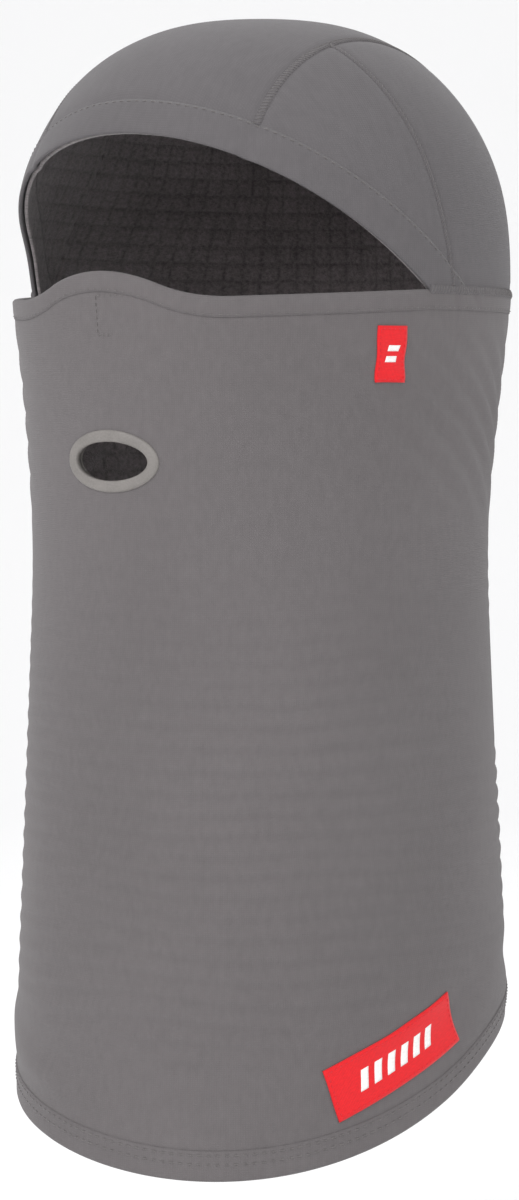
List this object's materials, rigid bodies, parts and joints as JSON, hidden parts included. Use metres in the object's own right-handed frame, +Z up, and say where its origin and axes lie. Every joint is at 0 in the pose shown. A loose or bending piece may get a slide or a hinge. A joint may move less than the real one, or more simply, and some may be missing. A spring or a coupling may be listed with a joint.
{
  "type": "balaclava",
  "caption": "Oval knit balaclava with a panelled hood, a wide eye opening, a pull-down mask with a rimmed breathing hole, and a long neck tube with a slanted hem.",
  "frame": {"origin": "middle of the wearer's head, level with the temple corners of the eye opening", "axes": "+Z up along the neck and head, -Y towards the face, +X towards the wearer's left"},
  "size_m": [0.1674, 0.2009, 0.392],
  "materials": {
    "outer_knit": "smooth warm grey stretch knit, matt with a soft sheen",
    "lining_fleece": "dark charcoal grid fleece, matt",
    "rim_film": "light grey bonded soft rim, satin",
    "woven_label": "bright red woven label",
    "elastic": "flat black knitted elastic",
    "label_thread": "red sewing thread",
    "thread": "grey sewing thread"
  },
  "bodies": {
    "hood": {"crown_center_panel": "outer_knit", "temple_panel_left": "outer_knit", "temple_panel_right": "outer_knit", "rear_panel_left": "outer_knit", "rear_panel_right": "outer_knit", "crown_lining": "lining_fleece", "brow_band": "outer_knit", "brow_facing": "lining_fleece", "brow_elastic": "elastic", "crown_seam_left": "outer_knit", "crown_seam_right": "outer_knit", "temple_seam_left": "outer_knit", "temple_seam_right": "outer_knit", "brow_stitching": "thread", "neck_seam": "outer_knit"},
    "mask": {"mask_neck_panel": "outer_knit", "mask_neck_lining": "lining_fleece", "mask_top_hem": "outer_knit", "mask_top_stitching": "thread", "nose_dart_stitching": "thread", "breathing_rim_outer": "rim_film", "breathing_rim_inner": "rim_film", "cheek_label": "woven_label", "cheek_label_stitching": "label_thread", "hem_label": "woven_label", "hem_label_stitching": "label_thread", "bottom_hem": "outer_knit", "bottom_hem_stitching": "thread", "back_seam": "outer_knit"}
  },
  "joints": [
    {"name": "mask_pull_down", "type": "slide", "parent": "hood", "child": "mask", "axis": [0, 0, -1], "range_m": [0, 0.065]}
  ]
}
